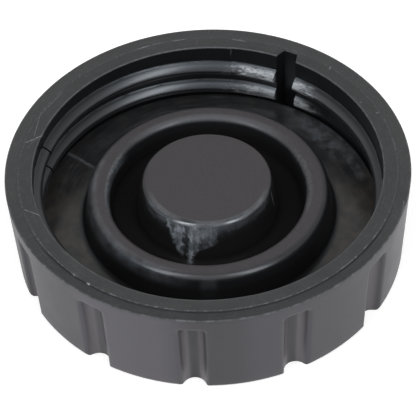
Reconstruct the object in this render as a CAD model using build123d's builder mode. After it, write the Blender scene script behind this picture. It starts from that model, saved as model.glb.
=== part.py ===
"""Screw cap of a brake fluid reservoir, lying on its outer face with the mouth up.

Two mouldings: the plastic cap with its internal thread and vent slot, and the rubber
diaphragm that lies on the cap's inner floor. Millimetres and degrees. The origin is the
centre of the outer face, +Z leaves the mouth, and angles run from +X towards +Y.
"""

import os
from math import cos, radians, sin, tan

from build123d import *

# Cap body
rim_diameter = 68.0
height = 17.8
skirt_draft = 4.0
outer_edge_radius = 0.8
plate_thickness = 3.9
rim_width = 4.65
lead_in_depth = 1.4
bore_draft = 0.5

# Grip flutes, half-round and open at the outer face
flute_count = 12
flute_radius = 2.2
flute_rim_gap = 2.9
flute_angle = 263.5

# Internal right-hand thread, one ridge that runs out at both ends
thread_pitch = 4.5
thread_depth = 1.5
thread_crest_width = 0.9
thread_flank_drop = 0.75
thread_crest_rounding = 0.3
thread_lead_gap = 0.1
thread_end_angle = 30.0
thread_runout = 13.0
thread_root_sink = 0.5

# Vent slot through the thread and the groove under the flange that it feeds
slot_angle = 60.6
slot_depth = 1.9
slot_back_width = 2.45
slot_mouth_width = 3.7
vent_groove_depth = 0.8

# Diaphragm
rubber_wall = 1.3
flange_thickness = 3.1
flange_clearance = 0.2
flange_edge_radius = 0.4
ring_top_width = 3.5
ring_height = 5.5
ring_side_spread = 1.0
ring_edge_radius = 0.9
ring_foot_fillet = 0.6
groove_width = 3.75
groove_rise = 0.6
groove_fillet = 1.2
boss_radius = 10.95
boss_height = 8.6
boss_side_spread = 1.2
boss_edge_radius = 0.9

# Working values that follow from the sizes above
rim_radius = rim_diameter / 2
bore_radius = rim_radius - rim_width
skirt_slope = tan(radians(skirt_draft))
foot_radius = rim_radius - height * skirt_slope
lead_in_bottom = height - lead_in_depth
floor_radius = bore_radius - (lead_in_bottom - plate_thickness) * tan(radians(bore_draft))

flange_top = plate_thickness + flange_thickness
thread_crest_radius = bore_radius - thread_depth
thread_base_width = thread_crest_width + 2 * thread_flank_drop
thread_bottom = flange_top + thread_base_width / 2
thread_top = lead_in_bottom - thread_lead_gap - thread_base_width / 2
thread_rise = thread_top - thread_bottom
thread_sweep_angle = 360 * thread_rise / thread_pitch
runout_reach = bore_radius * radians(thread_runout) + thread_depth

flange_radius = floor_radius - flange_clearance
groove_floor = flange_top + groove_rise
boss_top = flange_top + boss_height
boss_foot = boss_radius + boss_side_spread
ring_top = flange_top + ring_height
ring_foot_in = boss_foot + groove_width
ring_in = ring_foot_in + ring_side_spread
ring_out = ring_in + ring_top_width
ring_foot_out = ring_out + ring_side_spread
vent_groove_start = (ring_in + ring_out) / 2


def polar_point(radius, angle, z=0.0):
    """Point at a radius and an angle about the cap's axis."""
    return Vector(radius * cos(radians(angle)), radius * sin(radians(angle)), z)


def radial_plane(angle, z):
    """Horizontal plane at height z whose x axis points outwards at the angle."""
    return Plane(origin=(0, 0, z), x_dir=polar_point(1, angle), z_dir=(0, 0, 1))


def runout_plane(end_angle, z, turn):
    """Plane of the ramp that sinks the ridge into the wall at one end.

    The ridge goes on from the end in the sense of turn, +1 for growing angles. The plane's x axis
    runs along the ramp and its y axis points at the cap's axis.
    """
    tip = polar_point(bore_radius + thread_root_sink / 2, end_angle, z)
    shoulder = polar_point(thread_crest_radius, end_angle + turn * thread_runout, z)
    return Plane(origin=tip, x_dir=(shoulder - tip) * turn, z_dir=(0, 0, 1))


# Thread ridge: a rounded trapezoid carried along a helix that starts on +X, its root sunk into the wall
with BuildPart() as thread_ridge:
    with BuildLine() as thread_path:
        Helix(pitch=thread_pitch, height=thread_rise, radius=bore_radius, center=(0, 0, thread_bottom))
    section_plane = Plane(thread_path.line @ 0, x_dir=(1, 0, 0), z_dir=thread_path.line % 0)
    with BuildSketch(section_plane) as thread_section:
        with BuildLine():
            Polyline(
                (thread_root_sink, -thread_base_width / 2),
                (0, -thread_base_width / 2),
                (-thread_depth, -thread_crest_width / 2),
                (-thread_depth, thread_crest_width / 2),
                (0, thread_base_width / 2),
                (thread_root_sink, thread_base_width / 2),
                close=True,
            )
        make_face()
        crest_corners = thread_section.vertices().group_by(Axis.X)[0]
        fillet(crest_corners, thread_crest_rounding)
    sweep(path=thread_path.line, is_frenet=True)
    for ramp in (runout_plane(0, thread_bottom, 1), runout_plane(thread_sweep_angle, thread_top, -1)):
        with Locations(Location(ramp)):
            Box(
                2 * runout_reach,
                2 * thread_depth,
                thread_pitch,
                align=(Align.CENTER, Align.MIN, Align.CENTER),
                mode=Mode.SUBTRACT,
            )

# One flute cutter, parallel to the skirt's slope and flat at its upper end
with BuildPart() as flute:
    flute_top = height - flute_rim_gap
    with BuildSketch(Plane.XY.offset(flute_top)):
        with Locations((rim_radius - flute_rim_gap * skirt_slope, 0)):
            Circle(flute_radius)
    extrude(amount=height, dir=(-sin(radians(skirt_draft)), 0, -cos(radians(skirt_draft))))

# Cap: turned section, thread, flutes, vent slot and vent groove
with BuildPart() as cap:
    with BuildSketch(Plane.XZ) as cap_section:
        with BuildLine():
            Polyline(
                (0, 0),
                (foot_radius, 0),
                (rim_radius, height),
                (bore_radius, height),
                (bore_radius, lead_in_bottom),
                (floor_radius, plate_thickness),
                (0, plate_thickness),
                close=True,
            )
        make_face()
        foot_corner = cap_section.vertices().group_by(Axis.Y)[0].sort_by(Axis.X)[-1]
        fillet(foot_corner, outer_edge_radius)
    revolve(axis=Axis.Z)
    add(thread_ridge.part, rotation=(0, 0, thread_end_angle))
    with PolarLocations(0, flute_count, start_angle=flute_angle):
        add(flute.part, mode=Mode.SUBTRACT)
    with BuildSketch(radial_plane(slot_angle, plate_thickness)):
        with BuildLine():
            Polyline(
                (bore_radius + slot_depth, -slot_back_width / 2),
                (bore_radius + slot_depth, slot_back_width / 2),
                (bore_radius, slot_mouth_width / 2),
                (bore_radius - 2 * thread_depth, slot_mouth_width / 2),
                (bore_radius - 2 * thread_depth, -slot_mouth_width / 2),
                (bore_radius, -slot_mouth_width / 2),
                close=True,
            )
        make_face()
    extrude(amount=height, mode=Mode.SUBTRACT)
    with BuildSketch(radial_plane(slot_angle, plate_thickness)):
        with BuildLine():
            Polyline(
                (vent_groove_start, -slot_back_width / 2),
                (bore_radius, -slot_back_width / 2),
                (bore_radius, slot_back_width / 2),
                (vent_groove_start, slot_back_width / 2),
                close=True,
            )
        make_face()
    extrude(amount=-vent_groove_depth, mode=Mode.SUBTRACT)

# Diaphragm: turned section of one rubber wall, thick only in the flange
with BuildPart() as diaphragm:
    with BuildSketch(Plane.XZ) as rubber_section:
        with BuildLine():
            Polyline(
                (0, boss_top),
                (boss_radius, boss_top),
                (boss_foot, groove_floor),
                (ring_foot_in, groove_floor),
                (ring_in, ring_top),
                (ring_out, ring_top),
                (ring_foot_out, flange_top),
                (flange_radius, flange_top),
                (flange_radius, plate_thickness),
                (ring_foot_out - rubber_wall, plate_thickness),
                (ring_out - rubber_wall, ring_top - rubber_wall),
                (ring_in + rubber_wall, ring_top - rubber_wall),
                (ring_foot_in + rubber_wall, groove_floor - rubber_wall),
                (boss_foot - rubber_wall, groove_floor - rubber_wall),
                (boss_radius - rubber_wall, boss_top - rubber_wall),
                (0, boss_top - rubber_wall),
                close=True,
            )
        make_face()
        for corners, radius in (
            (((boss_radius, boss_top),), boss_edge_radius),
            (((ring_in, ring_top), (ring_out, ring_top)), ring_edge_radius),
            (((boss_foot, groove_floor), (ring_foot_in, groove_floor)), groove_fillet),
            (((ring_foot_out, flange_top),), ring_foot_fillet),
            (((flange_radius, flange_top),), flange_edge_radius),
        ):
            vertices = rubber_section.vertices()
            fillet([vertices.sort_by_distance((*corner, 0))[0] for corner in corners], radius)
    revolve(axis=Axis.Z)

cap.part.label = "cap"
diaphragm.part.label = "diaphragm"

os.makedirs("parts", exist_ok=True)
export_step(cap.part, "parts/cap.step")
export_step(diaphragm.part, "parts/diaphragm.step")
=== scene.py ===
"""Dressed model of a brake fluid reservoir cap that lies on its outer face with the mouth up.

Sizes in the classes are millimetres and degrees, and the meshes go to Blender in metres. The frame is
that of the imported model: the origin is the centre of the outer face, +Z leaves the mouth, and angles
run from +X towards +Y.
"""

import logging
from dataclasses import dataclass, field
from enum import Enum
from functools import reduce

import bpy
import numpy as np
from mathutils import Matrix, Vector


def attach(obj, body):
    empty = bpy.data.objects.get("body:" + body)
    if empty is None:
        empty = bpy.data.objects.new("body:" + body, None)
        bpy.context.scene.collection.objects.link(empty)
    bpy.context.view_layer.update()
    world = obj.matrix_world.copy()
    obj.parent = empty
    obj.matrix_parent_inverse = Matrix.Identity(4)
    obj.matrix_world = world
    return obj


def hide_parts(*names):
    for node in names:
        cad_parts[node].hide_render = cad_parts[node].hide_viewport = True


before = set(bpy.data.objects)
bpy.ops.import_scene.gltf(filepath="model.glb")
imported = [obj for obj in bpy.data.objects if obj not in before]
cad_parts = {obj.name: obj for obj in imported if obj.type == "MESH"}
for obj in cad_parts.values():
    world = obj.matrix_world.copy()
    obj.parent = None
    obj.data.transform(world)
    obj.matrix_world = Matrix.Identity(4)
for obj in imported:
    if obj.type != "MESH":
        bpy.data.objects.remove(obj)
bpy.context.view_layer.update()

LOG = logging.getLogger("reservoir_cap")
MM = 0.001
DEGREES = float(np.degrees(1.0))
COOL_TINT = (0.86, 0.93, 1.0, 1.0)
GRAIN_DEPTH = 0.0001

Array = np.ndarray
Pair = tuple[float, float]
Colour = tuple[float, float, float]
Socket = bpy.types.NodeSocket


class Slot(Enum):
    """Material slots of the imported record."""

    CAP = "cap_plastic"
    DIAPHRAGM = "diaphragm_rubber"


class Node(Enum):
    """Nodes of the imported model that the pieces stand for."""

    CAP = "cap"
    DIAPHRAGM = "diaphragm"


class Ray(Enum):
    """Outputs of the Light Path node that see the white studio."""

    CAMERA = "Is Camera Ray"
    GLOSSY = "Is Glossy Ray"
    TRANSMISSION = "Is Transmission Ray"


def smoothstep(low: float, high: float, x: Array) -> Array:
    """Cubic ramp, 3t^2 - 2t^3 of the clamped share t, from 0 at low to 1 at high."""
    t = np.clip((x - low) / (high - low), 0.0, 1.0)
    return t * t * (3.0 - 2.0 * t)


def angle_from(angles: Array, centre: float) -> Array:
    """Signed angles from a centre, in degrees between -180 and 180."""
    return (angles - centre + 180.0) % 360.0 - 180.0


def rounded_profile(corners: Array, radii: Array, steps: int) -> Array:
    """Round the corners of an open line in the plane of radius and height.

    Each corner becomes an arc that touches both of its sides: its centre lies on the corner's bisector at
    radius over the sine of the half angle, and its points turn evenly from one touching point to the other.

    Args:
        corners: Points (n, 2) of the line.
        radii: Arc radius at each point, zero to keep it sharp.
        steps: Points on each arc.

    Returns:
        Points (m, 2) with repeated ones left out.
    """
    before = np.roll(corners, 1, axis=0) - corners
    after = np.roll(corners, -1, axis=0) - corners
    before /= np.linalg.norm(before, axis=1, keepdims=True)
    after /= np.linalg.norm(after, axis=1, keepdims=True)
    half = 0.5 * np.arccos(np.clip((before * after).sum(axis=1), -0.999999, 0.999999))
    bisector = before + after
    bisector /= np.linalg.norm(bisector, axis=1, keepdims=True)
    centre = corners + bisector * (radii / np.sin(half))[:, None]
    reach = (radii / np.tan(half))[:, None]
    first = corners + before * reach - centre
    last = corners + after * reach - centre
    turn = (np.pi - 2.0 * half)[:, None]
    share = np.linspace(0.0, 1.0, steps)[None, :]
    weight_first = (np.sin((1.0 - share) * turn) / np.sin(turn))[..., None]
    weight_last = (np.sin(share * turn) / np.sin(turn))[..., None]
    points = centre[:, None] + weight_first * first[:, None] + weight_last * last[:, None]
    points = points.reshape(-1, 2)
    step = np.linalg.norm(np.diff(points, axis=0), axis=1)
    return points[np.r_[True, step > 1e-6]]


def lathe_mesh(name: str, radius: Array, height: Array, angles: Array, sharp: float) -> bpy.types.Object:
    """Closed surface from a polar grid, with a point on the axis below its first row and above its last.

    The point of row i and column j is (r cos a, r sin a, z) with r and z from the grids and a the column's
    angle. Rows run up the outside and down the inside, so that the faces point outwards.

    Args:
        name: Name of the object and its mesh.
        radius: Radii (rows, columns) in millimetres.
        height: Heights (rows, columns) in millimetres.
        angles: Column angles in degrees, growing.
        sharp: Edge angle in degrees above which shading breaks.

    Returns:
        The object, linked to the scene and sitting at the origin.
    """
    rows, columns = radius.shape
    turn = np.radians(angles)[None, :]
    ring = np.stack([radius * np.cos(turn), radius * np.sin(turn), height], axis=-1).reshape(-1, 3)
    poles = np.array([[0.0, 0.0, height[0].mean()], [0.0, 0.0, height[-1].mean()]])
    points = np.concatenate([ring, poles]) * MM
    index = np.arange(rows * columns).reshape(rows, columns)
    beside = np.roll(index, -1, axis=1)
    quads = np.stack([index[:-1], beside[:-1], beside[1:], index[1:]], axis=-1).reshape(-1, 4)
    first_pole = np.full(columns, rows * columns)
    lower = np.stack([first_pole, beside[0], index[0]], axis=-1)
    upper = np.stack([index[-1], beside[-1], first_pole + 1], axis=-1)
    mesh = bpy.data.meshes.new(name)
    mesh.from_pydata(points.tolist(), [], quads.tolist() + lower.tolist() + upper.tolist())
    mesh.shade_smooth()
    mesh.set_sharp_from_angle(angle=np.radians(sharp))
    piece = bpy.data.objects.new(name, mesh)
    bpy.context.scene.collection.objects.link(piece)
    return piece


class Value:
    """A number on a node's socket that can be used in Python expressions."""

    def __init__(self, graph: "Graph", socket: Socket) -> None:
        """Keep the graph and the output socket."""
        self.graph = graph
        self.socket = socket

    def math(self, operation: str, *others: "Value | float", clamp: bool = False) -> "Value":
        """Add a Math node on this value and further operands."""
        return self.graph.math(operation, self, *others, clamp=clamp)

    def __add__(self, other: "Value | float") -> "Value":
        """Sum."""
        return self.math("ADD", other)

    __radd__ = __add__

    def __sub__(self, other: "Value | float") -> "Value":
        """Difference."""
        return self.math("SUBTRACT", other)

    def __rsub__(self, other: float) -> "Value":
        """Reflected difference."""
        return self.graph.math("SUBTRACT", other, self)

    def __mul__(self, other: "Value | float") -> "Value":
        """Product."""
        return self.math("MULTIPLY", other)

    __rmul__ = __mul__

    def __truediv__(self, other: "Value | float") -> "Value":
        """Quotient."""
        return self.math("DIVIDE", other)

    def __neg__(self) -> "Value":
        """Opposite."""
        return self.math("MULTIPLY", -1.0)

    def __abs__(self) -> "Value":
        """Size without sign."""
        return self.math("ABSOLUTE")

    def clamp(self) -> "Value":
        """Held to 0..1."""
        return self.math("ADD", 0.0, clamp=True)

    def rest(self) -> "Value":
        """What is left to 1, held to 0..1."""
        return (1.0 - self).clamp()

    def most(self, *others: "Value | float") -> "Value":
        """The largest of all."""
        return reduce(lambda held, other: held.math("MAXIMUM", other), others, self)

    def ramp(self, low: float, high: float) -> "Value":
        """Smooth ramp from 0 at low to 1 at high, falling where low is above high."""
        node = self.graph.node("ShaderNodeMapRange", {"interpolation_type": "SMOOTHSTEP"},
                               {"Value": self, "From Min": low, "From Max": high})
        return Value(self.graph, node.outputs["Result"])

    def band(self, low: float, high: float, soft: float) -> "Value":
        """1 between low and high, falling to 0 over soft on both sides."""
        return self.ramp(low - soft, low) * self.ramp(high + soft, high)


class Graph:
    """Node tree of one material or world."""

    def __init__(self, owner: bpy.types.Material | bpy.types.World) -> None:
        """Take over the owner's node tree and empty it."""
        owner.use_nodes = True
        self.owner = owner
        self.tree = owner.node_tree
        self.tree.nodes.clear()

    def node(self, kind: str, settings: dict | None = None, inputs: dict | None = None) -> bpy.types.Node:
        """Add any node.

        Args:
            kind: The node's type name.
            settings: Attributes, set before the sockets.
            inputs: Socket names or numbers with their values, Value objects or output sockets.

        Returns:
            The new node.
        """
        made = self.tree.nodes.new(kind)
        for key, setting in (settings or {}).items():
            setattr(made, key, setting)
        for key, value in (inputs or {}).items():
            source = value.socket if isinstance(value, Value) else value
            if isinstance(source, Socket):
                self.tree.links.new(source, made.inputs[key])
            else:
                made.inputs[key].default_value = source
        return made

    def math(self, operation: str, *operands: "Value | float", clamp: bool = False) -> Value:
        """Add a Math node on values or numbers, in order; clamp holds its result to 0..1."""
        settings = {"operation": operation, "use_clamp": clamp}
        return Value(self, self.node("ShaderNodeMath", settings, dict(enumerate(operands))).outputs[0])

    def noise(self, x: Value | float, y: Value | float, z: Value | float, octaves: float, keep: float,
              scale: float = 1.0) -> Value:
        """Fractal noise around 0.5 at a point.

        Args:
            x, y, z: Coordinates of the point.
            octaves: Number of octaves.
            keep: Share that each octave keeps.
            scale: Cells per unit.

        Returns:
            The noise value.
        """
        point = self.node("ShaderNodeCombineXYZ", None, {0: x, 1: y, 2: z}).outputs[0]
        node = self.node("ShaderNodeTexNoise", {"noise_dimensions": "3D"},
                         {"Vector": point, "Scale": scale, "Detail": octaves, "Roughness": keep})
        return Value(self, node.outputs["Fac"])

    def blend(self, factor: Value, low: Colour | Socket, high: Colour | Socket) -> Socket:
        """Mix two colours; the factor is the share of the second one."""
        first, second = ((*c, 1.0) if isinstance(c, tuple) else c for c in (low, high))
        return self.node("ShaderNodeMix", {"data_type": "RGBA"}, {0: factor, 6: first, 7: second}).outputs[2]

    def surface(self, shader: bpy.types.Node) -> None:
        """Give a shader node to the material's output."""
        self.node("ShaderNodeOutputMaterial", None, {"Surface": shader.outputs[0]})


class Here:
    """Object coordinates of the shaded point about the part's axis, in millimetres and degrees."""

    def __init__(self, graph: Graph, mottle: float, grain: float) -> None:
        """Read the coordinates in a material's graph.

        Args:
            graph: Node tree of the material.
            mottle: Cells per millimetre of the coarse noise.
            grain: Cells per millimetre of the fine noise.
        """
        place = graph.node("ShaderNodeTexCoord")
        parts = graph.node("ShaderNodeSeparateXYZ", None, {0: place.outputs["Object"]})
        self.graph = graph
        self.x, self.y, self.z = (Value(graph, parts.outputs[i]) * (1.0 / MM) for i in range(3))
        self.radius = (self.x * self.x + self.y * self.y).math("SQRT")
        self.cosine, self.sine = self.x / self.radius, self.y / self.radius
        self.angle = self.y.math("ARCTAN2", self.x) * DEGREES
        self.left_angle = (-self.y).math("ARCTAN2", -self.x) * DEGREES
        self.mottle, self.grain = self.noise(mottle, 4.0, 0.6), self.noise(grain, 3.0, 0.7)

    def noise(self, scale: float, octaves: float, keep: float) -> Value:
        """Noise in space, the same on every side."""
        return self.graph.noise(self.x, self.y, self.z, octaves, keep, scale)

    def plan_noise(self, level: float, scale: float, octaves: float, keep: float) -> Value:
        """Noise in plan, the same at every height; the level picks a pattern."""
        return self.graph.noise(self.x, self.y, level, octaves, keep, scale)

    def turn_noise(self, turns: float, third: Value | float, octaves: float, keep: float) -> Value:
        """Noise around the axis that runs on over a full turn, and along a third coordinate."""
        return self.graph.noise(self.cosine * turns, self.sine * turns, third, octaves, keep)

    def bump(self, strength: float) -> Socket:
        """Normal that follows the fine noise."""
        inputs = {"Strength": strength, "Distance": GRAIN_DEPTH, "Height": self.grain}
        return self.graph.node("ShaderNodeBump", None, inputs).outputs[0]


@dataclass(frozen=True)
class Band:
    """A stretch of one coordinate with soft ends and a weight."""

    low: float
    high: float
    soft: float
    weight: float = 1.0

    def of(self, value: Value) -> Value:
        """The weight inside the stretch, falling to 0 outside."""
        return value.band(self.low, self.high, self.soft) * self.weight


@dataclass(frozen=True)
class PlanMark:
    """A straight scratch in plan, given by the radius and angle of its ends."""

    start: Pair
    end: Pair
    width: float
    strength: float

    def mask(self, at: Here) -> Value:
        """The scratch's mask: its strength near the line between the ends, 0 at the width's distance.

        Args:
            at: The shaded point.

        Returns:
            The mask, from the distance to the nearest point of the line.
        """
        first, last = (r * np.array([np.cos(np.radians(a)), np.sin(np.radians(a))])
                       for r, a in (self.start, self.end))
        run = [float(v) for v in last - first]
        length = run[0] ** 2 + run[1] ** 2
        px, py = at.x - float(first[0]), at.y - float(first[1])
        along = (px * (run[0] / length) + py * (run[1] / length)).clamp()
        dx, dy = px - along * run[0], py - along * run[1]
        return (dx * dx + dy * dy).math("SQRT").ramp(self.width, 0.2 * self.width) * self.strength


@dataclass(frozen=True)
class CapPlastic:
    """Black moulded plastic, dull and scratched on the rim and the skirt, darker and glossier inside.

    Whitish scuffs lie on the thread beside the vent slot, where the neck's thread starts to rub.
    """

    dull: Colour = (0.0355, 0.0338, 0.0325)
    skirt: Colour = (0.0295, 0.0228, 0.0265)
    # Lightest skirt colour, for polished patches and for painted light.
    buffed_and_lit: Colour = (0.061, 0.053, 0.0625)
    # Painted light: the paler colour of the flutes' walls.
    flute: Colour = (0.1, 0.088, 0.096)
    fresh: Colour = (0.0065, 0.0065, 0.0072)
    # Pale colour of scuffs, also used for painted glints and painted edge highlights.
    worn_and_glint: Colour = (0.34, 0.35, 0.36)
    # Painted shade: the colour of the parting line's crease and of the flutes' bottoms.
    painted_shade: Colour = (0.008, 0.007, 0.008)
    noise_scales: Pair = (0.22, 2.6)
    rim_height: float = 17.8
    rim_radius: float = 34.0
    foot_radius: float = 32.755
    slope: float = 0.06993
    slot_back: float = 31.5
    slot_span: Band = Band(57.0, 64.2, 0.2)
    inner_radius: float = 30.5
    bore_radius: float = 29.35
    parting_radius: float = 31.8
    crest_radius: float = 27.85
    seam_angle: float = 80.3
    ridge_end: Band = Band(24.0, 57.0, 3.0)
    ridge_matt: Band = Band(80.0, 94.0, 12.0, 0.45)
    # Angle bands that lighten the skirt where it is polished and where light is painted, and darken it in
    # painted shade.
    skirt_rub_and_light: tuple[Band, ...] = (
        Band(-126.0, -107.0, 10.0, 0.48), Band(-76.0, -60.0, 8.0, 0.1),
        Band(-24.0, -14.0, 6.0, 0.5), Band(-93.0, -87.0, 9.0, -0.17),
    )
    hair_turns: tuple[float, ...] = (0.35, 1.2, 2.2)
    marks: tuple[PlanMark, ...] = tuple(PlanMark(row[:2], row[2:4], *row[4:]) for row in (
        (31.44, 165.3, 29.28, 161.1, 0.13, 0.5), (31.46, 194.2, 29.38, 198.2, 0.12, 0.42),
        (31.55, 80.3, 31.36, 75.8, 0.14, 0.35), (31.86, 230.6, 31.84, 231.3, 0.2, 0.9),
        (31.82, 225.3, 31.82, 225.7, 0.18, 0.5), (31.9, 46.4, 31.3, 46.0, 0.14, 0.4),
        (31.5, 21.0, 31.2, 21.3, 0.16, 0.35), (33.5, 343.5, 33.8, 340.0, 0.12, 0.25),
        (31.35, 141.5, 31.6, 153.0, 0.11, 0.22), (31.6, 153.0, 30.6, 162.0, 0.11, 0.25),
        (30.9, 167.5, 30.2, 163.5, 0.1, 0.22), (31.75, 110.6, 31.75, 107.0, 0.17, 0.45),
        (31.75, 105.6, 31.85, 103.3, 0.13, 0.28), (31.75, 99.4, 31.85, 95.0, 0.15, 0.4),
    ))

    def parting_line(self, at: Here) -> tuple[Value, Value]:
        """Painted shade in the parting line's crease and painted glints of its flash along the inner edge.

        Both come and go around the rim, and both are strongest on the side of -Y, where the crease is
        deepest.

        Args:
            at: The shaded point.

        Returns:
            The share of painted shade and the share of painted glints.
        """
        dash = at.turn_noise(40.0, at.radius * 0.5, 3.0, 0.7)
        slow = at.turn_noise(4.0, 7.0, 2.0, 0.5)
        front = at.y.ramp(-8.0, -20.0)
        crease = at.radius.band(self.parting_radius + 0.14, self.parting_radius + 0.36, 0.14)
        edge = at.radius.band(self.parting_radius - 0.12, self.parting_radius + 0.02, 0.08)
        # Painted shadow in the crease, strongest towards -Y.
        painted_shade = crease * (0.15 + front * 0.85) * slow.ramp(0.22, 0.5)
        # Painted glints where the flash along the crease's inner edge catches light, brighter towards -Y.
        return painted_shade, edge * (0.02 + dash.ramp(0.46, 0.72) * (0.17 + front * 0.15))

    def rim_wear_and_edge_light(self, at: Here) -> Value:
        """Light marks on the rim: single scratches, fine specks and streaks, and painted highlights on its
        edges.

        Args:
            at: The shaded point.

        Returns:
            The share of scratched plastic and painted highlight.
        """
        speck = at.plan_noise(0.0, 1.9, 1.0, 0.5).ramp(0.74, 0.82) * 0.25
        streak = at.turn_noise(9.0, at.radius * 4.0, 3.0, 0.65).ramp(0.56, 0.8) * 0.09
        rub_and_light = at.turn_noise(22.0, 1.0, 4.0, 0.7)
        # Painted highlight along the rim's outer edge, broken by noise.
        edge = at.radius.ramp(self.rim_radius - 0.36, self.rim_radius - 0.12) * rub_and_light.ramp(0.35, 0.7) * 0.2
        # Painted highlight along the bore's edge.
        mouth = at.radius.ramp(self.bore_radius + 0.36, self.bore_radius + 0.12)
        total = speck.most(streak, edge, mouth * (0.03 + rub_and_light.ramp(0.3, 0.7) * 0.09))
        for turn in self.hair_turns:
            cosine, sine = float(np.cos(turn)), float(np.sin(turn))
            along, across = at.x * cosine + at.y * sine, at.y * cosine - at.x * sine
            hair = at.graph.noise(along * 0.3, across * 6.0, turn, 1.0, 0.5)
            total = total.most(hair.ramp(0.68, 0.8) * 0.08)
        broken = 0.25 + at.plan_noise(5.0, 1.6, 3.0, 0.7).ramp(0.36, 0.6) * 0.9
        return total.most(*(mark.mask(at) * broken for mark in self.marks))

    def thread_scuff(self, at: Here) -> Value:
        """Whitish streaks along the thread's ridges on both sides of the slot, fading away from it.

        Args:
            at: The shaded point.

        Returns:
            The share of scuffed plastic.
        """
        left = at.angle.ramp(63.9, 64.5) * at.angle.ramp(88.0, 64.0)
        right = at.angle.ramp(57.4, 56.8) * at.angle.ramp(41.0, 57.0)
        place = left.most(right)
        streak = at.turn_noise(13.0, at.z * 2.2, 4.0, 0.7)
        fine = at.turn_noise(50.0, at.z * 6.0, 2.0, 0.6)
        ridge = at.radius.ramp(self.crest_radius + 1.34, self.crest_radius + 0.8)
        lower = 1.0 - at.z.ramp(11.6, 10.8) * at.angle.ramp(61.0, 66.0) * 0.5
        bits = (streak * 1.5 + fine * 0.55 + place * 0.4).ramp(1.08, 1.6)
        return ridge * lower * bits * place.ramp(0.0, 0.4) * 0.85

    def rim_colour(self, at: Here) -> Socket:
        """Colour of the unmarked rim, whose outer strip has painted shade: dark towards -Y, lighter on the
        far side.

        Args:
            at: The shaded point.

        Returns:
            The colour's socket.
        """
        strip = at.radius.ramp(self.parting_radius, self.parting_radius + 0.3)
        # Painted shade: the strip outside the parting line darkens towards -Y.
        shade = 0.45 + strip * (at.y.ramp(-38.0, 12.0) * 0.43 - 0.25)
        shade = (shade + (at.mottle - 0.5) * 0.35 + (at.grain - 0.5) * 0.75).clamp()
        return at.graph.blend(shade, tuple(0.4 * c for c in self.dull), tuple(1.4 * c for c in self.dull))

    def skirt_colour(self, at: Here, inner: Value) -> Socket:
        """Colour of the skirt, polished in places, with painted light and shade on it and in the flutes.

        A flute's depth is the skirt's radius at that height less the point's own radius.

        Args:
            at: The shaded point.
            inner: Share of the cap's inside.

        Returns:
            The colour's socket.
        """
        # Polished patches and painted light: the band at -24..-14 degrees lightens the skirt, the one at
        # -93..-87 is painted shade at the front.
        rub_and_light = sum(band.of(at.angle) for band in self.skirt_rub_and_light)
        shade = (0.333 + rub_and_light + (at.mottle - 0.5) * 0.14 + (at.grain - 0.5) * 0.12).clamp()
        plain = at.graph.blend(shade, tuple(0.4 * c for c in self.skirt), self.buffed_and_lit)
        depth = at.z * self.slope + self.foot_radius - at.radius
        # Painted light makes the flutes' walls paler, and painted shade darkens their bottoms.
        walls = depth.ramp(0.3, 1.3) * depth.ramp(2.12, 1.72) * (1.0 - inner)
        bottom = depth.ramp(1.8, 2.1) * (1.0 - inner) * 0.35
        return at.graph.blend(bottom, at.graph.blend(walls, plain, self.flute), self.painted_shade)

    def film(self, at: Here, inner: Value, wear_and_glints: Value) -> Value:
        """Oily film on the far ridges, thinner on the left, on one segment and where the ridge runs out.

        Args:
            at: The shaded point.
            inner: Share of the cap's inside.
            wear_and_glints: Share of scuffed plastic, of painted glints and of painted highlights.

        Returns:
            The film's share.
        """
        end = self.ridge_end.of(at.angle) * at.z.ramp(11.8, 10.8)
        level = 0.6 - at.angle.ramp(125.0, 155.0) * 0.35 - self.ridge_matt.of(at.angle)
        return inner * at.radius.ramp(29.0, 28.5) * wear_and_glints.rest() * at.y.ramp(-4.0, 18.0) * (1.0 - end) * level

    def material(self) -> bpy.types.Material:
        """Build the material."""
        graph = Graph(bpy.data.materials.new("cap_plastic"))
        at = Here(graph, *self.noise_scales)
        rim = at.z.ramp(self.rim_height - 0.3, self.rim_height - 0.16)
        slot = at.radius.ramp(self.slot_back + 0.05, self.slot_back - 0.05) * self.slot_span.of(at.angle)
        inner = at.radius.ramp(self.inner_radius + 0.05, self.inner_radius - 0.05).most(slot) * (1.0 - rim)
        outer = graph.blend(rim, self.skirt_colour(at, inner), self.rim_colour(at))
        # Painted shade in the parting line's crease, and painted glints beside it.
        painted_shade, bright = self.parting_line(at)
        plain = graph.blend(inner, graph.blend(painted_shade * rim, outer, self.painted_shade), self.fresh)
        seam = abs(at.angle - self.seam_angle).ramp(0.3, 0.1) * at.z.ramp(15.9, 16.4) * inner * 0.12
        # Scuffs and scratches take the pale colour, and so do the painted glints of the parting line and the
        # painted edge highlights.
        wear_and_glints = (self.rim_wear_and_edge_light(at).most(bright) * rim).most(self.thread_scuff(at), seam)
        rough = 0.46 * (0.86 + at.mottle * 0.28) + rim * 0.05 - inner * 0.15 + wear_and_glints * 0.15
        graph.surface(graph.node("ShaderNodeBsdfPrincipled", None, {
            "Base Color": graph.blend(wear_and_glints, plain, self.worn_and_glint), "Roughness": rough,
            "Coat Weight": self.film(at, inner, wear_and_glints), "Coat Roughness": 0.34, "Coat IOR": 1.6,
            "Specular Tint": COOL_TINT, "Normal": at.bump(0.1)}))
        return graph.owner


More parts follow.
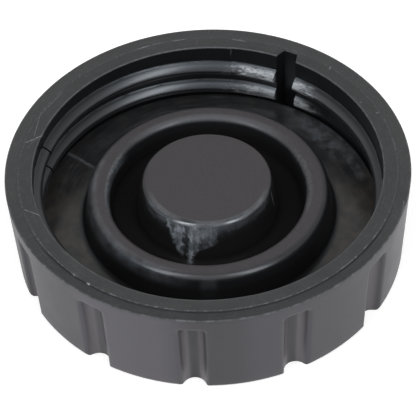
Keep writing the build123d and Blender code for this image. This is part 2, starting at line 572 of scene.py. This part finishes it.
@dataclass(frozen=True)
class DiaphragmRubber:
    """Black rubber, dusty grey on the flat tops, glossy on the sides, with rub marks, painted sheen and
    shade.
    """

    fresh: Colour = (0.0065, 0.0065, 0.007)
    dust: Colour = (0.0495, 0.044, 0.0445)
    film: Colour = (0.046, 0.037, 0.029)
    # Painted shade: matte dark colour of the groove and of the ring's near outer foot.
    recess_shade: Colour = (0.008, 0.0073, 0.007)
    # Pale bluish colour of smears, also used for painted sheen and highlights.
    smear_and_sheen: Colour = (0.33, 0.36, 0.39)
    noise_scales: Pair = (0.3, 3.0)
    boss_flat: float = 10.6
    boss_top: float = 15.3
    boss_side: Band = Band(9.9, 12.8, 0.2)
    boss_shine: tuple[Band, ...] = (Band(-116.0, -106.0, 9.0), Band(-71.0, -60.0, 9.0))
    ring_flat: Pair = (17.0, 18.9)
    ring_top: float = 12.85
    ring_inside: Band = Band(16.7, 17.3, 0.4)
    ring_outside: Band = Band(19.3, 20.4, 0.7)
    groove_span: Band = Band(10.6, 16.9, 0.3)
    under_span: Band = Band(20.0, 21.6, 0.4)
    flange_start: float = 21.6
    flange_streak: PlanMark = PlanMark((28.62, 147.0), (22.9, 148.7), 0.55, 0.16)

    def boss_smear_and_sheen(self, at: Here) -> Value:
        """Rubbed fan on the boss's side that narrows downwards, with a dark gap, and painted sheen above it.

        The fan's left and right edges are straight lines in angle and height, made ragged by noise.

        Args:
            at: The shaded point.

        Returns:
            The share of smear and painted sheen.
        """
        graph, angle, z = at.graph, at.angle, at.z
        ragged = at.noise(0.9, 4.0, 0.65) - 0.5
        place = angle + ragged * 14.0
        left = (place + 113.0 + (z - 7.6) * 2.7).ramp(-1.5, 3.5)
        low = (z + ragged * 2.6).ramp(9.4, 11.4)
        right = (place + 102.0 - low * 13.0 - (z - 9.9).most(0.0) * 1.8).ramp(1.5, -4.0)
        streak = graph.noise(place * 0.24, z * 0.16, 0.0, 4.0, 0.65)
        blotch = graph.noise(angle * 0.13, z * 0.6, 4.0, 4.0, 0.65)
        across = graph.noise(angle * 0.05, z * 2.4, 8.0, 3.0, 0.65)
        gap = 1.0 - abs(place + 111.5).ramp(3.6, 0.6) * z.ramp(14.4, 12.4) * 0.8
        fan = left * right * gap * z.ramp(7.3, 8.2) * z.ramp(15.4, 14.4)
        mix = (0.22 + streak.ramp(0.32, 0.66) * 0.75) * (0.4 + blotch.ramp(0.34, 0.66) * 0.6)
        patch = fan * mix * (0.84 - angle.ramp(-104.0, -94.0) * 0.35)
        edge = (z + ragged * 3.0 - abs(angle + 98.0) * 0.012).ramp(12.4, 14.4)
        # Painted sheen on the boss's near side under its edge.
        painted_sheen = angle.band(-148.0, -34.0, 22.0) * edge * (0.15 + across.ramp(0.3, 0.72) * 0.85) * 0.18
        scratch = abs(angle + 16.5 - across * 3.0).ramp(1.3, 0.3) * z.band(11.6, 14.0, 0.6) * 0.2
        return patch.most(painted_sheen, scratch) * self.boss_side.of(at.radius)

    def ring_rub_and_sheen(self, at: Here) -> Value:
        """The ring's rub bits and specks, with painted bluish sheen and highlights on its edges.

        Args:
            at: The shaded point.

        Returns:
            The share of rub marks and painted sheen.
        """
        angle, radius, z = at.angle, at.radius, at.z
        bits, cloud = at.noise(1.5, 4.0, 0.7), at.noise(0.45, 4.0, 0.55)
        inner = self.ring_inside.of(radius) * z.ramp(10.6, 11.6)
        outer = self.ring_outside.of(radius) * z.ramp(9.2, 11.4)
        # Whitish rub bits on the inner edge at left, over a painted bluish sheen.
        left = at.left_angle.band(-26.0, 8.0, 12.0) * inner * (0.3 + bits.ramp(0.42, 0.7) * 0.7) * 0.3
        # Painted highlight on the inner edge at right.
        right = angle.band(-14.0, 22.0, 12.0) * inner * bits.ramp(0.35, 0.7) * 0.13
        # Painted bluish sheen on the outer slope at left.
        painted_sheen = at.left_angle.band(-20.0, 62.0, 22.0) * outer * cloud.ramp(0.2, 0.75) * 0.13
        front = angle.band(-94.0, -90.0, 3.5) * radius.band(20.3, 21.0, 0.5) * cloud.ramp(0.2, 0.7) * 0.06
        # Painted highlight on the far inner edge.
        far = angle.band(58.0, 118.0, 26.0) * radius.band(16.9, 17.7, 0.5) * z.ramp(11.8, 12.5) * 0.075
        speck = at.plan_noise(3.0, 1.7, 1.0, 0.5).ramp(0.76, 0.84) * 0.35
        top = radius.band(17.2, 19.8, 0.2) * z.ramp(11.6, 12.2)
        return left.most(right, painted_sheen, front, far, speck * top)

    def flange_marks(self, at: Here) -> Value:
        """One straight streak on the flange's left, soft bluish smudges on its right and faint brushing.

        Args:
            at: The shaded point.

        Returns:
            The marks' share.
        """
        angle, radius = at.angle, at.radius
        cloud = at.plan_noise(2.0, 0.5, 4.0, 0.6)
        patches = cloud.ramp(0.3, 0.7)
        brush = at.turn_noise(5.0, radius * 4.5, 4.0, 0.7).ramp(0.4, 0.75) * cloud.ramp(0.22, 0.6)
        streak = self.flange_streak.mask(at) * cloud.ramp(0.3, 0.55)
        smudge = angle.band(33.0, 44.0, 14.0) * radius.band(25.0, 28.2, 1.6) * patches * 0.16
        second = angle.band(15.0, 26.0, 4.0) * radius.band(26.6, 27.4, 0.8) * patches * 0.14
        return streak.most(smudge, second, brush * (0.03 + at.y.ramp(-2.0, 14.0) * 0.06))

    def dust_cover(self, at: Here, shine: Value) -> Value:
        """Dust on the boss's and the ring's flat tops, with uneven edges, wiped off the shining edge.

        Args:
            at: The shaded point.
            shine: Share of the boss's shining edge.

        Returns:
            The dust's share.
        """
        uneven = at.radius + (at.mottle - 0.5) * 0.6 + (at.grain - 0.5) * 0.3
        inward = uneven + at.x * 0.02 - at.y.most(0.0) * 0.015
        boss = uneven.ramp(self.boss_flat + 0.15, self.boss_flat - 0.15)
        boss = boss * at.z.ramp(self.boss_top - 0.5, self.boss_top - 0.15) * (1.0 - shine * 0.85)
        ring = inward.ramp(self.ring_flat[0] - 0.5, self.ring_flat[0])
        ring = ring * uneven.ramp(self.ring_flat[1] + 1.3, self.ring_flat[1])
        return boss.most(ring * at.z.ramp(self.ring_top - 1.2, self.ring_top - 0.2))

    def material(self) -> bpy.types.Material:
        """Build the material."""
        graph = Graph(bpy.data.materials.new("diaphragm_rubber"))
        at = Here(graph, *self.noise_scales)
        radius, z, mottle = at.radius, at.z, at.mottle
        shine = sum(band.of(at.angle) for band in self.boss_shine) * radius.ramp(9.8, 10.15)
        flat = self.dust_cover(at, shine)
        flange = radius.ramp(self.flange_start, self.flange_start + 0.8)
        # Painted sheen: the brownish film's tint is stronger towards the left and right, fading towards the
        # far side.
        sides = abs(at.x).ramp(12.0, 25.0) * at.y.ramp(16.0, -2.0)
        plain = graph.blend(flange * mottle.ramp(0.25, 0.75) * (0.2 + sides * 0.8), self.fresh, self.film)
        dusty = graph.blend(flat * (0.45 + at.grain * 0.9).clamp(), plain, self.dust)
        # Smears, with the painted sheen and highlights of the boss and the ring.
        smears_and_sheen = self.boss_smear_and_sheen(at).most(self.flange_marks(at) * flange, self.ring_rub_and_sheen(at))
        # Painted shade in the groove between boss and ring, and on the ring's near outer foot.
        groove = self.groove_span.of(radius) * (z + radius.ramp(14.0, 15.0) * 1.6).ramp(13.4, 11.4)
        under = self.under_span.of(radius) * z.ramp(11.6, 9.8) * at.y.ramp(-8.0, -16.0)
        rough = 0.46 + flat * 0.1 + smears_and_sheen * 0.2 - flange * 0.06 + (mottle - 0.5) * 0.12 - groove * 0.08
        upper = radius.ramp(14.5, 13.5)
        place = upper * (0.36 + shine * 0.64) + flange * 0.85 + (1.0 - upper.most(flange)) * 0.36
        gloss = (1.0 - flat * 0.9) * smears_and_sheen.rest() * (1.0 - groove.most(under)) * place.clamp()
        shader = graph.node("ShaderNodeBsdfPrincipled", None, {
            "Base Color": graph.blend(smears_and_sheen, dusty, self.smear_and_sheen), "Roughness": rough, "Coat Weight": gloss,
            "Coat Roughness": 0.21, "Coat IOR": 1.75, "Specular IOR Level": 0.3,
            "Specular Tint": COOL_TINT, "Normal": at.bump(0.08)})
        # Painted shade: a matte dark diffuse over the groove, darker at its bottom, and over the ring's near
        # foot; it also takes their highlights away.
        recess_shade = graph.node("ShaderNodeBsdfDiffuse", None, {"Color": (*self.recess_shade, 1.0)})
        shade_share = (groove * (0.55 + z.ramp(9.6, 8.4) * 0.4)).most(under * 0.85) * smears_and_sheen.rest()
        graph.surface(graph.node("ShaderNodeMixShader", None, {
            0: shade_share, 1: shader.outputs[0], 2: recess_shade.outputs[0]}))
        return graph.owner


@dataclass
class ScrewCap:
    """The cap: top plate, fluted skirt, rim, internal thread and vent slot, one moulding."""

    rim_radius: float = 34.0
    height: float = 17.8
    draft: float = 4.0
    foot_rounding: float = 0.8
    rim_rounding: float = 0.13
    bore_radius: float = 29.35
    bore_rounding: float = 0.22
    bore_draft: float = 0.5
    lead_in_bottom: float = 16.4
    floor: float = 3.9
    parting_radius: float = 31.8
    parting_depth: float = 0.2
    flute_count: int = 12
    flute_radius: float = 2.12
    flute_rounding: float = 1.0
    flute_angle: float = 263.5
    flute_top: float = 14.9
    thread_pitch: float = 4.3
    thread_depth: float = 1.5
    thread_half_width: float = 1.42
    thread_reach: float = 1.6
    thread_start: float = 30.0
    thread_bottom: float = 8.2
    thread_top: float = 14.8
    thread_runouts: Pair = (50.0, 13.0)
    thread_row: float = 0.16
    thread_rows_end: float = 6.9
    slot_angle: float = 60.6
    slot_back_radius: float = 31.25
    slot_back_half: float = 1.225
    slot_mouth_half: float = 1.85
    witness_angles: tuple[float, ...] = (42.0, 80.3, 162.0, 202.0, 282.0, 322.0)
    segment_shift: tuple[float, ...] = (0.0, 0.04, -0.03, 0.03, -0.02, 0.02)
    slit_angle: float = 162.0
    slit_depth: float = 0.7
    slit_half: Pair = (0.2, 0.34)
    least_step: float = 0.03
    sharp_angle: float = 50.0
    finish: CapPlastic = CapPlastic()
    angles: Array = field(init=False)

    def __post_init__(self) -> None:
        """Set the angles of the mesh's columns."""
        self.angles = self.columns()

    def flute_edge(self) -> float:
        """Distance from a flute's middle where its rounded edge meets the skirt."""
        return float(np.sqrt((self.flute_radius + self.flute_rounding) ** 2 - self.flute_rounding ** 2))

    def columns(self) -> Array:
        """Column angles, dense where a flute, the slot or a witness line bends the wall.

        Returns:
            Angles in degrees, growing, at least the least step apart.
        """
        centre = self.flute_edge()
        meet = float(np.arcsin(centre / (self.flute_radius + self.flute_rounding)))
        arc = self.flute_radius * np.sin(np.linspace(0.0, meet, 8))
        edge = centre - self.flute_rounding * np.sin(np.linspace(meet, 0.0, 8))[1:]
        side = np.degrees(np.r_[arc, edge] / self.rim_radius)
        plain = np.linspace(side[-1], 180.0 / self.flute_count, 9)[1:]
        half = np.r_[side, plain]
        one = np.r_[-half[::-1], half]
        starts = self.flute_angle + np.arange(self.flute_count) * 360.0 / self.flute_count
        flutes = (starts[:, None] + one[None, :]).ravel()
        slot = np.array([0.0, 1.1, 2.0, 2.247, 2.5, 3.0, 3.4, 3.56, 3.614, 3.68, 3.75, 3.81, 3.88, 4.0, 4.2])
        slots = self.slot_angle + np.r_[-slot[::-1], slot]
        inner, outer = self.slit_half
        beside = np.array([-outer, -inner, 0.0, inner, outer])
        lines = (np.array(self.witness_angles)[:, None] + beside[None, :]).ravel()
        every = np.sort(np.concatenate([flutes, slots, lines]) % 360.0)
        return every[np.r_[True, np.diff(every) > self.least_step]]

    def flute_depth(self) -> Array:
        """Depth of the flutes below the skirt, at each column.

        A flute is half a circle with its centre on the skirt. An arc that touches the skirt and the circle
        rounds each edge.

        Returns:
            Depths in millimetres.
        """
        pitch = 360.0 / self.flute_count
        nearest = (self.angles - self.flute_angle + pitch / 2.0) % pitch - pitch / 2.0
        across = np.abs(np.radians(nearest)) * self.rim_radius
        rho, big, centre = self.flute_rounding, self.flute_radius, self.flute_edge()
        touch = centre * big / (big + rho)
        circle = np.sqrt(np.maximum(big ** 2 - across ** 2, 0.0))
        rounding = rho - np.sqrt(np.maximum(rho ** 2 - (across - centre) ** 2, 0.0))
        return np.where(across < touch, circle, np.where(across < centre, rounding, 0.0))

    def slot_radius(self) -> Array:
        """Radius of the vent slot's walls at each column: the nearest of its back, flared sides and mouth.

        Returns:
            Radii in millimetres, small away from the slot.
        """
        turn = np.radians(np.abs(angle_from(self.angles, self.slot_angle)))
        near = np.minimum(turn, np.radians(40.0))
        flare = (self.slot_mouth_half - self.slot_back_half) / (self.slot_back_radius - self.bore_radius)
        back = self.slot_back_radius / np.cos(near)
        reach = self.slot_back_half + flare * self.slot_back_radius
        side = reach / (np.tan(near) + flare) / np.cos(near)
        mouth = self.slot_mouth_half / np.maximum(np.sin(near), 1e-6)
        return np.minimum(np.minimum(back, side), mouth)

    def segment_offset(self) -> Array:
        """Small radial step of each core segment between two witness lines, at each column."""
        segment = np.searchsorted(self.witness_angles, self.angles % 360.0) % len(self.segment_shift)
        return np.array(self.segment_shift)[segment]

    def slit(self) -> Array:
        """Depth of the slit across the ridges at one witness line: full near it, sloped at both sides."""
        away = np.abs(angle_from(self.angles, self.slit_angle))
        return np.interp(away, self.slit_half, (self.slit_depth, 0.0))

    def thread_height(self, height: Array) -> Array:
        """Height of the thread's ridge above the bore's wall.

        Across the helix, which climbs one pitch a turn, the ridge is a parabola, and half the sum of it and
        of the root of its square plus a small square rounds its foot. A smooth ramp sinks it into the wall
        at both ends.

        Args:
            height: Row heights (rows, columns).

        Returns:
            Heights in millimetres (rows, columns).
        """
        turn = (self.angles[None, :] - self.thread_start) % 360.0
        total = turn[None] + 360.0 * np.arange(2)[:, None, None]
        end = 360.0 * (self.thread_top - self.thread_bottom) / self.thread_pitch
        centre = self.thread_bottom + self.thread_pitch * total / 360.0
        away = np.minimum(np.abs(height[None] - centre) / self.thread_half_width, self.thread_reach)
        raw = 1.0 - away ** 2.0
        bump = np.where(away < self.thread_reach, 0.5 * (raw + np.sqrt(raw * raw + 0.003)) - 0.0005, 0.0)
        first, last = self.thread_runouts
        ramp = smoothstep(0.0, first, total) * smoothstep(end, end - last, total)
        return (self.thread_depth * bump * ramp).max(axis=0)

    def outside(self) -> tuple[Array, Array]:
        """Rows from the outer face's middle to the rim's outer edge.

        The skirt is a cone with rounded ends. Under the flutes' flat upper end the flute depth is taken off.

        Returns:
            Radii and heights (rows, columns).
        """
        slope, cosine = np.tan(np.radians(self.draft)), np.cos(np.radians(self.draft))
        foot = self.rim_radius - self.height * slope
        low, top = self.foot_rounding, self.rim_rounding
        down = np.radians(np.linspace(-90.0, -self.draft, 7))
        up = np.radians(np.linspace(-self.draft, 90.0, 6))
        low_centre = foot + low * slope - low / cosine
        top_centre = self.rim_radius - top * slope - top / cosine
        face = np.array([9.0, 18.0, 26.0, 30.2])
        z_wall = np.array([2.5, 5.0, 7.5, 10.0, 12.5])
        z_ledge = self.flute_top + np.array([-1.1, -0.7, -0.42, -0.18, 0.02, 0.22, 0.45])
        ledge = np.array([1.0, 0.97, 0.87, 0.68, 0.34, 0.1, 0.0])
        z_rim = np.array([15.8, 16.7])
        z_plain = np.r_[z_wall, z_ledge, z_rim]
        z = np.r_[0.0 * face, low + low * np.sin(down), z_plain, self.height - top + top * np.sin(up)]
        wall = z_plain * slope + foot
        plain = np.r_[face, low_centre + low * np.cos(down), wall, top_centre + top * np.cos(up)]
        share = np.r_[np.ones(face.size + down.size + z_wall.size), ledge, np.zeros(z_rim.size + up.size)]
        axis = foot + z * slope
        cut = axis[:, None] - share[:, None] * self.flute_depth()[None, :]
        radius = np.minimum(plain[:, None], np.where(share[:, None] > 0.0, cut, np.inf))
        return radius, np.broadcast_to(z[:, None], radius.shape)

    def rim(self) -> tuple[Array, Array]:
        """Rows across the flat rim, over the parting line, to the edge of the bore and the slot.

        Returns:
            Radii and heights (rows, columns).
        """
        start = self.rim_radius - 0.6
        beside = self.parting_radius + np.array([0.52, 0.38, 0.16, 0.03, -0.1])
        out = np.r_[start, start - 0.7, beside]
        strip = np.array([0.02, 0.035, 0.045, 0.03, 0.03, 0.01, 0.0])
        crease = np.array([0.0, 0.0, 0.0, 1.0, 1.0, 0.0, 0.0])
        front = smoothstep(-0.28, -0.62, np.sin(np.radians(self.angles)))
        dip = -strip[:, None] - crease[:, None] * (self.parting_depth * front)[None, :]
        bore = self.bore_radius + self.segment_offset()
        edge = np.maximum(bore, self.slot_radius()) + self.bore_rounding
        share = np.array([0.35, 0.7])
        inner = out[-1] + share[:, None] * (edge[None, :] - out[-1])
        turn = np.radians(np.linspace(90.0, 180.0, 5))
        rounding = edge[None, :] + self.bore_rounding * np.cos(turn)[:, None]
        radius = np.concatenate([np.repeat(out[:, None], self.angles.size, axis=1), inner, rounding])
        fall = np.r_[np.zeros(share.size), self.bore_rounding * (np.sin(turn) - 1.0)]
        drop = np.concatenate([dip, np.repeat(fall[:, None], self.angles.size, axis=1)])
        return radius, self.height + drop

    def inside(self) -> tuple[Array, Array]:
        """Rows down the bore's wall, over the thread and the slot, and across the inner floor.

        The wall's radius less the thread's height is held at or outside the slot's walls.

        Returns:
            Radii and heights (rows, columns).
        """
        z_lead = np.array([17.3, 16.9, self.lead_in_bottom + 0.05])
        z_thread = np.arange(self.lead_in_bottom - 0.1, self.thread_rows_end, -self.thread_row)
        z = np.r_[z_lead, z_thread, 6.0, self.floor]
        drop = np.maximum(self.lead_in_bottom - z, 0.0) * np.tan(np.radians(self.bore_draft))
        wall = (self.bore_radius - drop)[:, None] + self.segment_offset()[None, :]
        height = np.repeat(z[:, None], self.angles.size, axis=1)
        ridge = self.thread_height(height)
        ridge = ridge - np.minimum(self.slit()[None, :], ridge)
        radius = np.maximum(wall - ridge, self.slot_radius()[None, :])
        floor_radius = np.repeat(np.array([26.0, 18.0, 9.0])[:, None], self.angles.size, axis=1)
        radius = np.concatenate([radius, floor_radius])
        height = np.concatenate([height, np.full(floor_radius.shape, self.floor)])
        return radius, height

    def build(self) -> bpy.types.Object:
        """Make the cap's mesh, dress it and put it in the place of its node."""
        parts = [self.outside(), self.rim(), self.inside()]
        radius = np.concatenate([part[0] for part in parts])
        height = np.concatenate([part[1] for part in parts])
        piece = lathe_mesh("screw_cap", radius, height, self.angles, self.sharp_angle)
        piece.data.materials.append(self.finish.material())
        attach(piece, "root")
        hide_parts(Node.CAP.value)
        return piece


@dataclass
class Diaphragm:
    """The rubber bellows: flange, raised ring, groove and centre boss, one moulding."""

    floor: float = 3.9
    flange_radius: float = 29.04
    flange_top: float = 7.0
    flange_roundings: Pair = (0.2, 0.4)
    ring_in: float = 16.9
    ring_out: float = 20.25
    ring_spread: float = 1.0
    ring_top: float = 12.85
    ring_foot_fillet: float = 0.6
    ring_rounding: float = 1.4
    groove_floor: float = 7.6
    groove_fillets: Pair = (1.6, 1.3)
    boss_radius: float = 10.85
    boss_spread: float = 1.3
    boss_top: float = 15.3
    boss_rounding: float = 0.85
    wall: float = 1.3
    back_rounding: float = 0.4
    axis_gap: float = 0.6
    drift: float = -0.25
    drift_ends: Pair = (17.5, 20.25)
    columns: int = 288
    sharp_angle: float = 60.0
    finish: DiaphragmRubber = DiaphragmRubber()

    def profile(self) -> Array:
        """Closed section from the axis under the boss, out to the flange and back over the top.

        Returns:
            Points (n, 2) of radius and height.
        """
        foot = self.boss_radius + self.boss_spread
        ring_foot_in = self.ring_in - self.ring_spread
        ring_foot_out = self.ring_out + self.ring_spread
        wall, back = self.wall, self.back_rounding
        corners = np.array([
            (self.axis_gap, self.boss_top - wall, 0.0),
            (self.boss_radius - wall, self.boss_top - wall, back),
            (foot - wall, self.groove_floor - wall, back),
            (ring_foot_in + wall, self.groove_floor - wall, back),
            (self.ring_in + wall, self.ring_top - wall, back),
            (self.ring_out - wall, self.ring_top - wall, back),
            (ring_foot_out - wall, self.floor, back),
            (self.flange_radius, self.floor, self.flange_roundings[0]),
            (self.flange_radius, self.flange_top, self.flange_roundings[1]),
            (ring_foot_out, self.flange_top, self.ring_foot_fillet),
            (self.ring_out, self.ring_top, self.ring_rounding),
            (self.ring_in, self.ring_top, self.ring_rounding),
            (ring_foot_in, self.groove_floor, self.groove_fillets[0]),
            (foot, self.groove_floor, self.groove_fillets[1]),
            (self.boss_radius, self.boss_top, self.boss_rounding),
            (self.axis_gap, self.boss_top, 0.0),
        ])
        return rounded_profile(corners[:, :2], corners[:, 2], 7)

    def build(self) -> bpy.types.Object:
        """Make the diaphragm's mesh, dress it and put it in the place of its node.

        The section is turned about the axis. The boss and the ring's inside lie off the axis by the drift
        along X: each radius grows by the drift times the cosine of its angle, fading out across the ring.

        Returns:
            The diaphragm's object.
        """
        angles = np.arange(self.columns) * 360.0 / self.columns
        profile = self.profile()
        share = 1.0 - smoothstep(*self.drift_ends, profile[:, :1])
        radius = profile[:, :1] + self.drift * share * np.cos(np.radians(angles))[None, :]
        height = np.repeat(profile[:, 1:], self.columns, axis=1)
        piece = lathe_mesh("bellows_diaphragm", radius, height, angles, self.sharp_angle)
        piece.data.materials.append(self.finish.material())
        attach(piece, "root")
        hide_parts(Node.DIAPHRAGM.value)
        return piece


@dataclass(frozen=True)
class SoftBox:
    """A rectangular lamp that faces the object."""

    name: str
    azimuth: float
    elevation: float
    distance: float
    width: float
    length: float
    power: float
    colour: Colour = (1.0, 1.0, 1.0)

    def build(self, target: Vector) -> None:
        """Put the lamp at its azimuth and elevation about the target, turned to face it.

        Args:
            target: Point that the lamp faces, in metres.
        """
        lamp = bpy.data.lights.new(self.name, "AREA")
        lamp.shape = "RECTANGLE"
        lamp.size, lamp.size_y = self.width, self.length
        lamp.energy = self.power
        lamp.color = self.colour
        turn, rise = np.radians(self.azimuth), np.radians(self.elevation)
        away = Vector((np.cos(rise) * np.cos(turn), np.cos(rise) * np.sin(turn), np.sin(rise)))
        holder = bpy.data.objects.new(self.name, lamp)
        holder.location = target + away * self.distance
        holder.rotation_euler = away.to_track_quat("Z", "Y").to_euler()
        bpy.context.scene.collection.objects.link(holder)


@dataclass
class Studio:
    """Camera, pale floor, lamps and surroundings."""

    image_size: float = 416.0
    sensor: float = 36.0
    focal: float = 2863.4
    elevation: float = 45.762
    distance: float = 0.4786
    roll: float = 2.55
    offset: Pair = (-0.40, 39.85)
    clip: Pair = (0.01, 20.0)
    target: tuple[float, float, float] = (0.0, 0.0, 0.0178)
    floor_half: float = 3.0
    floor_drop: float = 0.00002
    floor_colour: Colour = (0.72, 0.70, 0.68)
    floor_glow: float = 0.5
    zenith: float = 0.12
    sky_ends: Pair = (1.05, 0.1)
    lamps: tuple[SoftBox, ...] = (
        SoftBox("softbox_left", 220.0, 53.0, 0.6, 0.18, 0.5, 1.75, (0.91, 0.955, 1.0)),
        SoftBox("softbox_right", 312.0, 53.0, 0.6, 0.18, 0.5, 1.75, (0.91, 0.955, 1.0)),
        SoftBox("softbox_front", 268.0, 52.0, 0.9, 0.9, 1.2, 1.7, (0.96, 0.97, 1.0)),
    )

    def camera(self) -> None:
        """Aim the camera so that the rim's centre falls on its pixel of the photograph."""
        lens = bpy.data.cameras.new("camera")
        lens.sensor_width = self.sensor
        lens.lens = self.focal * self.sensor / self.image_size
        lens.clip_start, lens.clip_end = self.clip
        rise, roll = np.radians(self.elevation), np.radians(self.roll)
        back = Vector((0.0, -np.cos(rise), np.sin(rise)))
        level, steep = Vector((1.0, 0.0, 0.0)), Vector((0.0, np.sin(rise), np.cos(rise)))
        right = level * np.cos(roll) - steep * np.sin(roll)
        up = level * np.sin(roll) + steep * np.cos(roll)
        aside = right * (self.offset[0] / self.focal) + up * (self.offset[1] / self.focal)
        backward = (back + aside).normalized()
        right = (right - backward * right.dot(backward)).normalized()
        up = backward.cross(right)
        holder = bpy.data.objects.new("camera", lens)
        turned = Matrix((right, up, backward)).transposed().to_4x4()
        holder.matrix_world = Matrix.Translation(Vector(self.target) + back * self.distance) @ turned
        bpy.context.scene.collection.objects.link(holder)
        bpy.context.scene.camera = holder

    @staticmethod
    def seen(graph: Graph) -> Value:
        """1 for rays that show the white studio: from the camera, glossy and transmitted."""
        path = graph.node("ShaderNodeLightPath")
        first, *others = (Value(graph, path.outputs[ray.value]) for ray in Ray)
        return first.most(*others)

    def floor(self) -> None:
        """Lay a pale floor that glows to white for the camera and still takes the object's shadow."""
        graph = Graph(bpy.data.materials.new("floor_paper"))
        paper = graph.node("ShaderNodeBsdfDiffuse", None, {"Color": (*self.floor_colour, 1.0)})
        glow = graph.node("ShaderNodeEmission", None, {"Strength": self.seen(graph) * self.floor_glow})
        graph.surface(graph.node("ShaderNodeAddShader", None, {0: paper.outputs[0], 1: glow.outputs[0]}))
        corner = self.floor_half * np.array([(-1, -1, 0), (1, -1, 0), (1, 1, 0), (-1, 1, 0)])
        mesh = bpy.data.meshes.new("floor")
        mesh.from_pydata((corner - np.array([0.0, 0.0, self.floor_drop])).tolist(), [], [(0, 1, 2, 3)])
        mesh.materials.append(graph.owner)
        piece = bpy.data.objects.new("floor", mesh)
        bpy.context.scene.collection.objects.link(piece)

    def surroundings(self) -> None:
        """White world for the camera; for other rays a bright horizon that dims to the zenith."""
        graph = Graph(bpy.data.worlds.new("studio"))
        bpy.context.scene.world = graph.owner
        path = graph.node("ShaderNodeLightPath")
        place = graph.node("ShaderNodeTexCoord")
        parts = graph.node("ShaderNodeSeparateXYZ", None, {0: place.outputs["Generated"]})
        sky = self.zenith + Value(graph, parts.outputs[2]).ramp(*self.sky_ends) * (1.0 - self.zenith)
        strength = Value(graph, path.outputs[Ray.CAMERA.value]).most(sky)
        light = graph.node("ShaderNodeBackground", None,
                           {"Color": (1.0, 1.0, 1.0, 1.0), "Strength": strength})
        graph.node("ShaderNodeOutputWorld", None, {"Surface": light.outputs[0]})

    def build(self) -> None:
        """Set the view transform and make camera, floor, lamps and surroundings."""
        bpy.context.scene.view_settings.view_transform = "Standard"
        self.camera()
        self.floor()
        self.surroundings()
        for lamp in self.lamps:
            lamp.build(Vector(self.target))


def main() -> None:
    """Build the pieces and the studio in order and report each piece."""
    logging.basicConfig(level=logging.INFO, format="%(name)s %(message)s")
    for builder in (ScrewCap(), Diaphragm()):
        piece = builder.build()
        LOG.info("%s: %d vertices, %d faces", piece.name, len(piece.data.vertices), len(piece.data.polygons))
    Studio().build()


if __name__ == "__main__":
    main()
